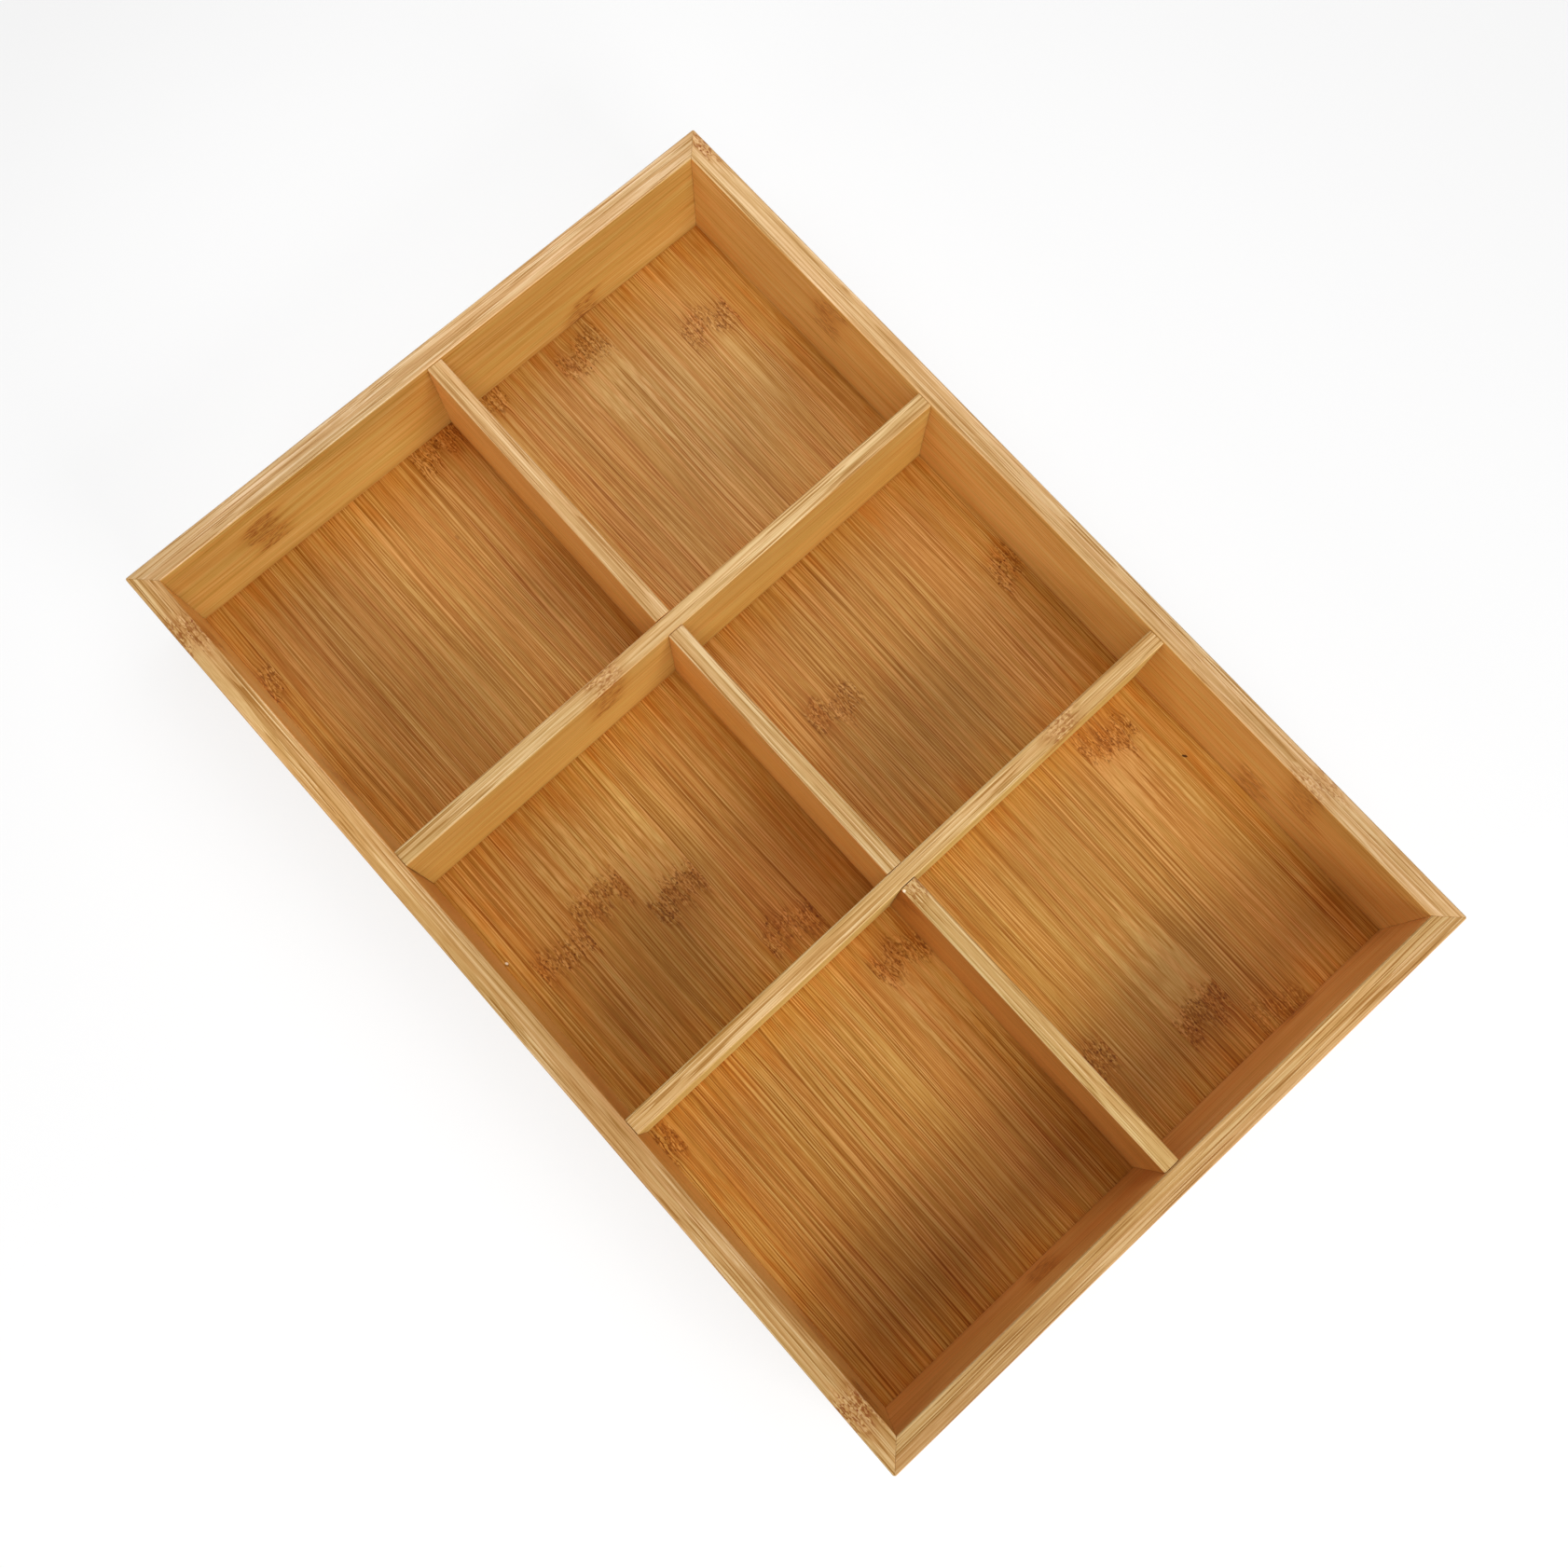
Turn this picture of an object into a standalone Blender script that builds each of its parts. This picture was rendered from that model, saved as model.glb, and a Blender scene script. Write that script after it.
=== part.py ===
"""Bamboo storage tray with six compartments, built from flat boards.

Four mitred wall boards hold a floor panel in grooves along their inner faces. Two cross dividers run
from the front wall to the back wall, and three long dividers stand end to end between the side walls
and the cross dividers. Round bamboo pins hold the dividers' ends, and a flat bamboo key lies hidden
in each mitred corner. Metres, +Z up. X runs along the tray, and the origin is the centre of its
underside.
"""

import math

import bmesh
import bpy
from mathutils import Matrix, Vector

# Whole tray
tray_length = 0.360
tray_width = 0.240
compartment_depth = 0.041  # from the rim down to the floor's upper face

# Wall boards
wall_thickness = 0.008
wall_edge_radius = 0.0006  # rounding of the four long edges of each wall
corner_ease = 0.0005  # sanded off each outer upright corner

# Floor panel, which lies in a groove round the walls
floor_thickness = 0.005
floor_recess = 0.004  # from the walls' lower edges up to the floor's underside
groove_depth = 0.004
floor_edge_play = 0.0005  # left at the bottom of each groove, for the panel to swell

# Dividers
divider_thickness = 0.006
divider_drop = 0.0005  # how far the dividers stay below the rim
divider_edge_radius = 0.0006
cross_divider_pitch = 0.1083  # between the middles of the two cross dividers
cross_divider_skew = math.radians(0.9)  # they are glued in a little off square
crossing_offset = 0.0008  # how far the crossings lie towards the front wall

# Round pins in the dividers' ends
pin_diameter = 0.0025
pin_chamfer = 0.0004
pin_cover = 0.0032  # wood left in a wall behind each pin's hole
pin_in_divider = 0.009
pin_height_shares = {"low": 0.3, "high": 0.7}  # of the dividers' height
pin_sides = 12

# Flat keys in the mitred corners
key_thickness = 0.002
key_cover = 0.0015  # wood left between a key's edges and the walls' faces
key_below_rim = 0.010
key_above_floor = 0.007

# Clearance between two pieces that meet
joint_gap = 0.0003

# Rounded edges: the sides of each arc, and the angle up to which neighbouring faces look like one
arc_steps = 4
smooth_angle = math.radians(40)

# Sizes that follow from those above
half_length = tray_length / 2
half_width = tray_width / 2
floor_top = floor_recess + floor_thickness
tray_height = floor_top + compartment_depth
inner_half_length = half_length - wall_thickness
inner_half_width = half_width - wall_thickness
divider_bottom = floor_top + joint_gap
divider_top = tray_height - divider_drop
cross_divider_x = cross_divider_pitch / 2
cross_divider_length = 2 * (inner_half_width - joint_gap)
pin_radius = pin_diameter / 2
pin_in_wall = wall_thickness - pin_cover - joint_gap
key_width = 2 * math.sqrt(2) * (wall_thickness / 2 - key_cover) - key_thickness
key_bottom = floor_top + key_above_floor
key_top = tray_height - key_below_rim

# Walls by name: length, middle of the outer face, and turn about Z that makes local +Y point inwards
wall_places = {
    "wall_front": (tray_length, (0, -half_width), 0),
    "wall_right": (tray_width, (half_length, 0), 90),
    "wall_back": (tray_length, (0, half_width), 180),
    "wall_left": (tray_width, (-half_length, 0), 270),
}


def bamboo(name, colour, roughness):
    """A plain lacquered bamboo material."""
    made = bpy.data.materials.new(name)
    made.use_nodes = True
    shader = made.node_tree.nodes["Principled BSDF"]
    shader.inputs["Base Color"].default_value = (*colour, 1)
    shader.inputs["Roughness"].default_value = roughness
    shader.inputs["Metallic"].default_value = 0
    return made


def arc(centre, radius, start, end):
    """Points of an arc about centre, from angle start to angle end, in degrees."""
    points = []
    for step in range(arc_steps + 1):
        angle = math.radians(start + (end - start) * step / arc_steps)
        points.append((centre[0] + radius * math.cos(angle), centre[1] + radius * math.sin(angle)))
    return points


def new_object(name, shape, material, parent=None):
    """Turns a bmesh into an object of that name, closed and facing outwards."""
    bmesh.ops.recalc_face_normals(shape, faces=shape.faces)
    mesh = bpy.data.meshes.new(name)
    shape.to_mesh(mesh)
    shape.free()
    mesh.shade_smooth()
    mesh.set_sharp_from_angle(angle=smooth_angle)
    made = bpy.data.objects.new(name, mesh)
    made.data.materials.append(material)
    made.parent = parent
    bpy.context.scene.collection.objects.link(made)
    return made


def as_cutter(piece):
    """Keeps a shape out of the model: it only cuts others."""
    piece.hide_render = True
    piece.display_type = "WIRE"
    return piece


def cut(board, cutter):
    modifier = board.modifiers.new(cutter.name, "BOOLEAN")
    modifier.operation = "DIFFERENCE"
    modifier.object = cutter


def extruded(outline, length):
    """A bar along X, centred on it, from an outline given as (y, z) points."""
    shape = bmesh.new()
    face = shape.faces.new([shape.verts.new((-length / 2, y, z)) for y, z in outline])
    swept = bmesh.ops.extrude_face_region(shape, geom=[face])["geom"]
    moved = [item for item in swept if isinstance(item, bmesh.types.BMVert)]
    bmesh.ops.translate(shape, verts=moved, vec=(length, 0, 0))
    return shape


def trim(shape, point, outward):
    """Cuts off what lies past a plane, and closes the cut."""
    everything = [*shape.verts, *shape.edges, *shape.faces]
    bmesh.ops.bisect_plane(
        shape, geom=everything, plane_co=point, plane_no=outward, clear_outer=True
    )
    rim = [edge for edge in shape.edges if edge.is_boundary]
    bmesh.ops.contextual_create(shape, geom=rim)


def wall_outline():
    """Section of a wall as (y, z), with y 0 at the outer face: rounded edges, and the floor's groove."""
    radius = wall_edge_radius
    inner = wall_thickness
    top = tray_height
    groove_low = floor_recess - joint_gap
    groove_high = floor_top + joint_gap
    groove_back = inner - groove_depth
    return [
        *arc((radius, radius), radius, 180, 270),
        *arc((inner - radius, radius), radius, 270, 360),
        (inner, groove_low),
        (groove_back, groove_low),
        (groove_back, groove_high),
        (inner, groove_high),
        *arc((inner - radius, top - radius), radius, 0, 90),
        *arc((radius, top - radius), radius, 90, 180),
    ]


def make_wall(name, length, place, turn, material):
    """A wall board, mitred at both ends, with its outer upright corners eased."""
    shape = extruded(wall_outline(), length)
    for side in (-1, 1):
        corner = Vector((side * length / 2, 0, 0))
        mitre = Vector((side, 1, 0)).normalized()
        trim(shape, corner - mitre * joint_gap / 2, mitre)
        tip = Vector((side, -1, 0)).normalized()
        trim(shape, corner - tip * corner_ease, tip)
    wall = new_object(name, shape, material)
    wall.location = (*place, 0)
    wall.rotation_euler.z = math.radians(turn)
    return wall


def make_floor(material):
    """The floor panel, which reaches into the groove of all four walls."""
    reach = groove_depth - floor_edge_play
    shape = bmesh.new()
    size = (2 * (inner_half_length + reach), 2 * (inner_half_width + reach), floor_thickness)
    bmesh.ops.create_cube(shape, size=1, matrix=Matrix.Diagonal((*size, 1)))
    panel = new_object("floor_panel", shape, material)
    panel.location.z = floor_recess + floor_thickness / 2
    return panel


def divider_outline():
    """Section of a divider as (y, z), with its two upper edges rounded."""
    radius = divider_edge_radius
    half = divider_thickness / 2
    shoulder = divider_top - radius
    return [
        (-half, divider_bottom),
        (half, divider_bottom),
        *arc((half - radius, shoulder), radius, 0, 90),
        *arc((radius - half, shoulder), radius, 90, 180),
    ]


def make_long_divider(name, start, end, material):
    """A divider board from one (x, y) point to another."""
    run = Vector(end) - Vector(start)
    board = new_object(name, extruded(divider_outline(), run.length), material)
    board.location.xy = Vector(start) + run / 2
    board.rotation_euler.z = math.atan2(run.y, run.x)
    return board


def make_cross_divider(name, x, material):
    """A divider across the tray. Its empty carries the turn and the place, for its pins as well."""
    seat = bpy.data.objects.new(name + "_seat", None)
    bpy.context.scene.collection.objects.link(seat)
    seat.location.x = x
    seat.rotation_euler.z = math.radians(90) + cross_divider_skew
    return new_object(name, extruded(divider_outline(), cross_divider_length), material, seat)


def rod(start, end, radius, chamfer=0):
    """A round rod along X from start to end, with its ends chamfered."""
    shape = bmesh.new()
    lie_down = Matrix.Rotation(math.radians(90), 4, "Y")
    place = Matrix.Translation(((start + end) / 2, 0, 0))
    bmesh.ops.create_cone(
        shape,
        cap_ends=True,
        segments=pin_sides,
        radius1=radius,
        radius2=radius,
        depth=end - start,
        matrix=place @ lie_down,
    )
    if chamfer:
        caps = [face for face in shape.faces if len(face.verts) == pin_sides]
        rims = {edge for face in caps for edge in face.edges}
        bmesh.ops.bevel(
            shape,
            geom=list(rims),
            offset=chamfer,
            affect="EDGES",
            segments=1,
            profile=0.5,
            material=-1,
        )
    return shape


def make_pins(name, start, end, boards, material, parent=None, y=0):
    """The lower and the upper pin of a joint, along their parent's X, each in a hole in the boards."""
    for level_name, share in pin_height_shares.items():
        pin_name = f"{name}_{level_name}"
        pin = new_object(pin_name, rod(start, end, pin_radius, pin_chamfer), material, parent)
        hole = rod(start - joint_gap, end + joint_gap, pin_radius + joint_gap)
        cutter = as_cutter(new_object("hole_" + pin_name, hole, material, parent))
        for piece in (pin, cutter):
            piece.location.y = y
            piece.location.z = divider_bottom + share * (divider_top - divider_bottom)
        for board in boards:
            cut(board, cutter)


def key_block(grow):
    """A corner key as a bmesh, larger by grow on every side."""
    shape = bmesh.new()
    size = [side + 2 * grow for side in (key_width, key_thickness, key_top - key_bottom)]
    bmesh.ops.create_cube(shape, size=1, matrix=Matrix.Diagonal((*size, 1)))
    return shape


def make_corner_key(name, x_side, y_side, boards, material):
    """A flat key across the middle of a mitre, in a slot that both walls share."""
    place = (
        x_side * (half_length - wall_thickness / 2),
        y_side * (half_width - wall_thickness / 2),
        (key_bottom + key_top) / 2,
    )
    across = math.atan2(-x_side, y_side)  # square to the mitre, which runs from corner to corner
    key = new_object(name, key_block(0), material)
    slot = as_cutter(new_object("slot_" + name, key_block(joint_gap), material))
    for piece in (key, slot):
        piece.location = place
        piece.rotation_euler.z = across
    for board in boards:
        cut(board, slot)


def main():
    for old in list(bpy.data.objects):
        bpy.data.objects.remove(old)

    wall_bamboo = bamboo("wall_bamboo", (0.62, 0.36, 0.13), 0.42)
    floor_bamboo = bamboo("floor_bamboo", (0.52, 0.25, 0.07), 0.38)
    divider_bamboo = bamboo("divider_bamboo", (0.60, 0.35, 0.13), 0.42)
    pin_bamboo = bamboo("pin_bamboo", (0.66, 0.45, 0.22), 0.6)

    walls = {
        name: make_wall(name, length, place, turn, wall_bamboo)
        for name, (length, place, turn) in wall_places.items()
    }
    make_floor(floor_bamboo)

    cross = {
        "left": make_cross_divider("cross_divider_left", -cross_divider_x, divider_bamboo),
        "right": make_cross_divider("cross_divider_right", cross_divider_x, divider_bamboo),
    }

    # Long dividers fill the runs between the side walls and the cross dividers
    face = divider_thickness / 2 + joint_gap
    wall_x = inner_half_length - joint_gap
    crossing_y = -crossing_offset
    runs = {
        "left": ((-wall_x, 0), (-cross_divider_x - face, crossing_y)),
        "middle": ((face - cross_divider_x, crossing_y), (cross_divider_x - face, crossing_y)),
        "right": ((cross_divider_x + face, crossing_y), (wall_x, 0)),
    }
    long = {
        name: make_long_divider("long_divider_" + name, start, end, divider_bamboo)
        for name, (start, end) in runs.items()
    }

    for name, side in (("left", -1), ("right", 1)):
        # Pins from the cross divider into the front and the back wall
        for end_name, end in (("front", -1), ("back", 1)):
            reach = sorted(
                (end * (inner_half_width - pin_in_divider), end * (inner_half_width + pin_in_wall))
            )
            boards = (cross[name], walls["wall_" + end_name])
            pins = f"cross_pin_{name}_{end_name}"
            make_pins(pins, *reach, boards, pin_bamboo, parent=cross[name].parent)

        # Pins from the outer long divider into the side wall
        reach = sorted(
            (side * (inner_half_length - pin_in_divider), side * (inner_half_length + pin_in_wall))
        )
        make_pins("end_pin_" + name, *reach, (long[name], walls["wall_" + name]), pin_bamboo)

        # Pins through the cross divider, from one long divider into the next
        half_pin = divider_thickness / 2 + pin_in_divider
        reach = (side * cross_divider_x - half_pin, side * cross_divider_x + half_pin)
        boards = (long[name], cross[name], long["middle"])
        make_pins("crossing_pin_" + name, *reach, boards, pin_bamboo, y=crossing_y)

    for y_name, y_side in (("front", -1), ("back", 1)):
        for x_name, x_side in (("left", -1), ("right", 1)):
            boards = (walls[f"wall_{y_name}"], walls[f"wall_{x_name}"])
            name = f"corner_key_{y_name}_{x_name}"
            make_corner_key(name, x_side, y_side, boards, pin_bamboo)


main()
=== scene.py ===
import math

import bmesh
import bpy
from mathutils import Matrix, Vector, noise


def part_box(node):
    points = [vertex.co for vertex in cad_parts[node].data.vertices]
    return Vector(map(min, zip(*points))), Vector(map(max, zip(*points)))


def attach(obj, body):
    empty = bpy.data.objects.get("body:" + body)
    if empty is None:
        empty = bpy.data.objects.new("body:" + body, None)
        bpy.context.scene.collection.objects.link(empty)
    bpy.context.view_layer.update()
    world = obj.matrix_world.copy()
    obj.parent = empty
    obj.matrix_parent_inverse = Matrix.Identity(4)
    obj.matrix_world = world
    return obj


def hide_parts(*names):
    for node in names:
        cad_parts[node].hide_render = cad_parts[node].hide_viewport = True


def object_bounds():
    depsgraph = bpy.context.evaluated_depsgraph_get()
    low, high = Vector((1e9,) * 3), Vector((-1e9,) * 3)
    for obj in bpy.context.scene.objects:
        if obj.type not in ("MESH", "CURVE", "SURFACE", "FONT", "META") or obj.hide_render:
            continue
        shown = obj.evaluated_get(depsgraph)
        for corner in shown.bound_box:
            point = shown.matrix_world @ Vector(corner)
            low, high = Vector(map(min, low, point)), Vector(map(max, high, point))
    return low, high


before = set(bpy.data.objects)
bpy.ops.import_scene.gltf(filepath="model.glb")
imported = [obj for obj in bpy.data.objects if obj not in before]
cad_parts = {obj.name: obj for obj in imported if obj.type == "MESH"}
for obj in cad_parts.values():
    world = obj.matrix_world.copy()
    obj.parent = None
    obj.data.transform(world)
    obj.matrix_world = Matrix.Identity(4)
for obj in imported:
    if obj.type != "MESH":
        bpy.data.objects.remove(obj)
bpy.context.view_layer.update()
trayLow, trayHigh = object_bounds()
traySize = trayHigh - trayLow
metresToMillimetres = 1000
print("frame loaded:", len(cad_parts), "nodes")


# Camera, at the photograph's viewpoint

cameraLook = {
    "place": (0.07498, -0.07629, 0.52239),
    "turn": (11.3093, -0.7487, 48.0261),  # degrees about X, Y and Z
    "lens": 35.633,
    "sensor": 36.0,
    "clipStart": 0.01,
}


def makeCamera():
    lens = bpy.data.cameras.new("photoCamera")
    lens.lens = cameraLook["lens"]
    lens.sensor_width = cameraLook["sensor"]
    lens.clip_start = cameraLook["clipStart"]
    camera = bpy.data.objects.new("photoCamera", lens)
    camera.location = cameraLook["place"]
    camera.rotation_euler = [math.radians(angle) for angle in cameraLook["turn"]]
    bpy.context.scene.collection.objects.link(camera)
    bpy.context.scene.camera = camera


makeCamera()
print("camera placed")


# Small helpers for building node trees

def feed(tree, socket, value):
    # A socket takes a link or a fixed value
    if isinstance(value, bpy.types.NodeSocket):
        tree.links.new(value, socket)
    else:
        socket.default_value = value


def feedAll(tree, sockets, values):
    for title, value in values.items():
        feed(tree, sockets[title], value)


def addNode(tree, kind, wires=None, **settings):
    made = tree.nodes.new(kind)
    for key, value in settings.items():
        setattr(made, key, value)
    feedAll(tree, made.inputs, wires or {})
    return made


def addGroup(tree, group, wires):
    return addNode(tree, "ShaderNodeGroup", node_tree=group, wires=wires).outputs


def maths(tree, operation, *values, clamp=False):
    wires = dict(enumerate(values))
    return addNode(tree, "ShaderNodeMath", wires, operation=operation, use_clamp=clamp).outputs[0]


def product(tree, first, *others):
    for value in others:
        first = maths(tree, "MULTIPLY", first, value)
    return first


def vectorMaths(tree, operation, *values):
    return addNode(tree, "ShaderNodeVectorMath", dict(enumerate(values)), operation=operation).outputs


def partsOf(tree, vector):
    return addNode(tree, "ShaderNodeSeparateXYZ", {"Vector": vector}).outputs


def smoothStep(tree, value, start, end, low=0.0, high=1.0):
    # Goes smoothly from low to high as the value goes from start to end
    wires = {"Value": value, "From Min": start, "From Max": end, "To Min": low, "To Max": high}
    return addNode(tree, "ShaderNodeMapRange", wires, interpolation_type="SMOOTHSTEP").outputs["Result"]


def mixColours(tree, factor, first, second, blend="MIX"):
    made = addNode(tree, "ShaderNodeMix", data_type="RGBA", blend_type=blend)
    feedAll(tree, made.inputs, {"Factor": factor, "A": first, "B": second})
    return made.outputs["Result"]


seedDirection = (1.0, 1.7, 0.6)  # a seed moves a noise pattern along it


def stretchedNoise(tree, vector, size, seed=0.0, detail=0.0, distortion=0.0):
    # Noise whose grains measure about size along the three axes, in the vector's own unit
    scale = [1 / side for side in size]
    place = [seed * share for share in seedDirection]
    wires = {"Vector": vector, "Scale": scale, "Location": place}
    mapped = addNode(tree, "ShaderNodeMapping", wires)
    wires = {"Vector": mapped.outputs["Vector"], "Scale": 1.0, "Detail": detail, "Distortion": distortion}
    return addNode(tree, "ShaderNodeTexNoise", wires).outputs["Fac"]


def newGroup(name, takes, gives):
    # A shader group. Its inputs come with their first values, None for a vector, and its outputs by kind
    group = bpy.data.node_groups.new(name, "ShaderNodeTree")
    for title, value in takes.items():
        kind = "Color" if isinstance(value, tuple) else "Float"
        if value is None:
            kind = "Vector"
        socket = group.interface.new_socket(title, in_out="INPUT", socket_type="NodeSocket" + kind)
        if value is not None:
            socket.default_value = value
    for kind, titles in gives.items():
        for title in titles:
            group.interface.new_socket(title, in_out="OUTPUT", socket_type="NodeSocket" + kind)
    return group, group.nodes.new("NodeGroupInput").outputs, group.nodes.new("NodeGroupOutput").inputs


def newMaterial(name):
    material = bpy.data.materials.new(name)
    material.use_nodes = True
    return material, material.node_tree, material.node_tree.nodes["Principled BSDF"]


def linear(red, green, blue):
    # A screen colour from 0 to 255 as the shader's linear colour
    parts = [part / 255 for part in (red, green, blue)]
    parts = [part / 12.92 if part <= 0.04045 else ((part + 0.055) / 1.055) ** 2.4 for part in parts]
    return (*parts, 1.0)


# Bamboo, as node groups. Their vectors are in millimetres: X along the grain, Y across the strips and
# Z through the board. A pair of numbers in a look is where a smooth step starts and where it ends

stripLook = {
    "glueLine": (0.28, 0.08),  # off the plane where two plies meet
    "seam": (0.3, 0.0),  # off the line where two strips meet
    "jump": (700, 300, 90),  # how far apart in the pattern neighbouring strips may lie
}


def makeStripLayout():
    group, take, give = newGroup(
        "stripLayout",
        {"Vector": None, "Width": 20.5, "Shift": 0.0, "Rows": 4.0, "Two Plies": 1.0, "Seed": 0.0},
        {"Float": ("Index", "Tone", "Tint", "Seam", "Glue Line"), "Vector": ("Vector",)},
    )
    parts = partsOf(group, take["Vector"])
    place = maths(group, "DIVIDE", maths(group, "SUBTRACT", parts["Y"], take["Shift"]), take["Width"])
    row = maths(group, "FLOOR", place)
    outer = product(group, maths(group, "GREATER_THAN", parts["Z"], 0.0), take["Two Plies"])
    index = maths(group, "MULTIPLY_ADD", outer, take["Rows"], row)
    share = maths(group, "SUBTRACT", maths(group, "SUBTRACT", place, row), 0.5)
    across = maths(group, "ABSOLUTE", product(group, share, take["Width"]))
    edge = maths(group, "SUBTRACT", maths(group, "DIVIDE", take["Width"], 2.0), across)
    glue = smoothStep(group, maths(group, "ABSOLUTE", parts["Z"]), *stripLook["glueLine"])

    # Each strip has its own tone and tint, and its fibres come from another place in the pattern
    key = addNode(group, "ShaderNodeCombineXYZ", {"X": index, "Y": take["Seed"]}).outputs[0]
    luck = addNode(group, "ShaderNodeTexWhiteNoise", {"Vector": key}, noise_dimensions="2D").outputs["Color"]
    shares = addNode(group, "ShaderNodeSeparateColor", {"Color": luck}).outputs
    jump = vectorMaths(group, "MULTIPLY", luck, stripLook["jump"])[0]
    feedAll(group, give, {
        "Index": index, "Tone": shares["Red"], "Tint": shares["Green"],
        "Seam": smoothStep(group, edge, *stripLook["seam"]),
        "Glue Line": product(group, glue, take["Two Plies"]),
        "Vector": vectorMaths(group, "ADD", take["Vector"], jump)[0],
    })
    return group


knuckleLook = {
    "wave": {"size": (60, 7, 40), "seed": 3.1},
    "waveReach": -13.0,
    "ragged": {"size": (7, 1.3, 1.3), "seed": 41.0},
    "raggedReach": 4.5,  # of smooth knuckles, and half of a rough one's
    "band": (8.0, 3.0),  # off the knuckle's line, where the cut bundles show
    "patch": (12.0, 3.0),  # where the wood is tinted
    "worms": {"size": (1.6, 0.62, 0.7), "seed": 29.0, "distortion": 1.0},
    "darkWorms": (0.53, 0.66),
    "wormStrength": 0.66,
    "paleWorms": (0.46, 0.34),
    "holesPerMillimetre": (0.5, 0.7, 0.7),
    "hole": (0.29, 0.16),
    "holeShare": (0.55, 0.8),
    "dashes": {"size": (3.2, 0.5, 1.2), "seed": 7.7, "distortion": 0.4},
    "darkDashes": (0.49, 0.59),
    "dashStrength": 0.8,
    "fibres": {"size": (10, 0.6, 0.9), "seed": 53.0},
    "darkFibres": (0.56, 0.70),
    "fibreStrength": 0.4,
    "fibreReach": (17.0, 3.0),
    "fibreSide": (4.0, -4.0),  # none on the flame's side
    "fingers": {"size": (90, 1.1, 5), "seed": 11.0, "detail": 1.0},
    "fingerSpread": (0.25, 0.75),
    "fingerLength": (4.0, 48.0),
    "fingerStart": (2.0, 5.0),
    "fingerEnd": (0.0, 5.0),
    "swing": {"size": (6.5, 3.5, 6), "seed": 17.0},
    "swingReach": (12.0, 1.0),
    "swingMost": 2.2,
}


def makeKnuckleMarks():
    # Rough knuckles have dots and pale spots, as on the floor. Smooth ones have long dashes, as on the walls
    group, take, give = newGroup(
        "knuckleMarks",
        {"Vector": None, "Along": 0.0, "Flame": 0.0, "Strength": 1.0, "Rough": 1.0},
        {"Float": ("Dark", "Pale", "Band", "Calm", "Bend")},
    )
    look = knuckleLook

    def pattern(name):
        return stretchedNoise(group, take["Vector"], **look[name])

    def centred(name):
        return maths(group, "SUBTRACT", pattern(name), 0.5)

    # The knuckle's line waves across the strip and its ends are ragged
    along = maths(group, "MULTIPLY_ADD", centred("wave"), look["waveReach"], take["Along"])
    distance = maths(group, "ABSOLUTE", along)
    reach = maths(group, "MULTIPLY_ADD", take["Rough"], look["raggedReach"], look["raggedReach"])
    ragged = maths(group, "MULTIPLY_ADD", centred("ragged"), reach, distance)
    band = product(group, smoothStep(group, ragged, *look["band"]), take["Strength"])
    patch = product(group, smoothStep(group, ragged, *look["patch"]), take["Strength"])

    # Cut bundles: dark and pale worms, and a few small dark holes
    worms = pattern("worms")
    wires = {"Vector": take["Vector"], "Scale": look["holesPerMillimetre"]}
    cells = addNode(group, "ShaderNodeMapping", wires).outputs["Vector"]
    bundles = addNode(group, "ShaderNodeTexVoronoi", {"Vector": cells, "Scale": 1.0}).outputs
    luck = addNode(group, "ShaderNodeSeparateColor", {"Color": bundles["Color"]}).outputs["Green"]
    holes = product(group, smoothStep(group, bundles["Distance"], *look["hole"]),
                    smoothStep(group, luck, *look["holeShare"]))
    darkWorms = smoothStep(group, worms, *look["darkWorms"], 0.0, look["wormStrength"])
    roughDark = product(group, maths(group, "MAXIMUM", darkWorms, holes), take["Rough"])
    dashes = smoothStep(group, pattern("dashes"), *look["darkDashes"], 0.0, look["dashStrength"])
    smoothDark = product(group, dashes, maths(group, "SUBTRACT", 1.0, take["Rough"]))
    dark = product(group, maths(group, "MAXIMUM", roughDark, smoothDark), band)
    pale = product(group, smoothStep(group, worms, *look["paleWorms"]), band, take["Rough"])

    # Short dark fibres run up to it
    flameSide = product(group, along, take["Flame"])
    near = product(group, smoothStep(group, distance, *look["fibreReach"]),
                   smoothStep(group, flameSide, *look["fibreSide"]))
    fibres = smoothStep(group, pattern("fibres"), *look["darkFibres"], 0.0, look["fibreStrength"])
    dark = maths(group, "MAXIMUM", dark, product(group, fibres, near, take["Strength"]))

    # Beyond the knuckle, on its flame side, smooth pale wood ends in ragged fingers
    length = smoothStep(group, pattern("fingers"), *look["fingerSpread"], *look["fingerLength"])
    left = maths(group, "SUBTRACT", length, flameSide)
    calm = product(group, smoothStep(group, flameSide, *look["fingerStart"]),
                   smoothStep(group, left, *look["fingerEnd"]), take["Strength"])

    # Fibres swing round the knuckle
    near = smoothStep(group, distance, *look["swingReach"])
    swing = product(group, centred("swing"), near, look["swingMost"], take["Strength"])
    feedAll(group, give, {"Dark": dark, "Pale": pale, "Band": patch, "Calm": calm, "Bend": swing})
    return group


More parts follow.
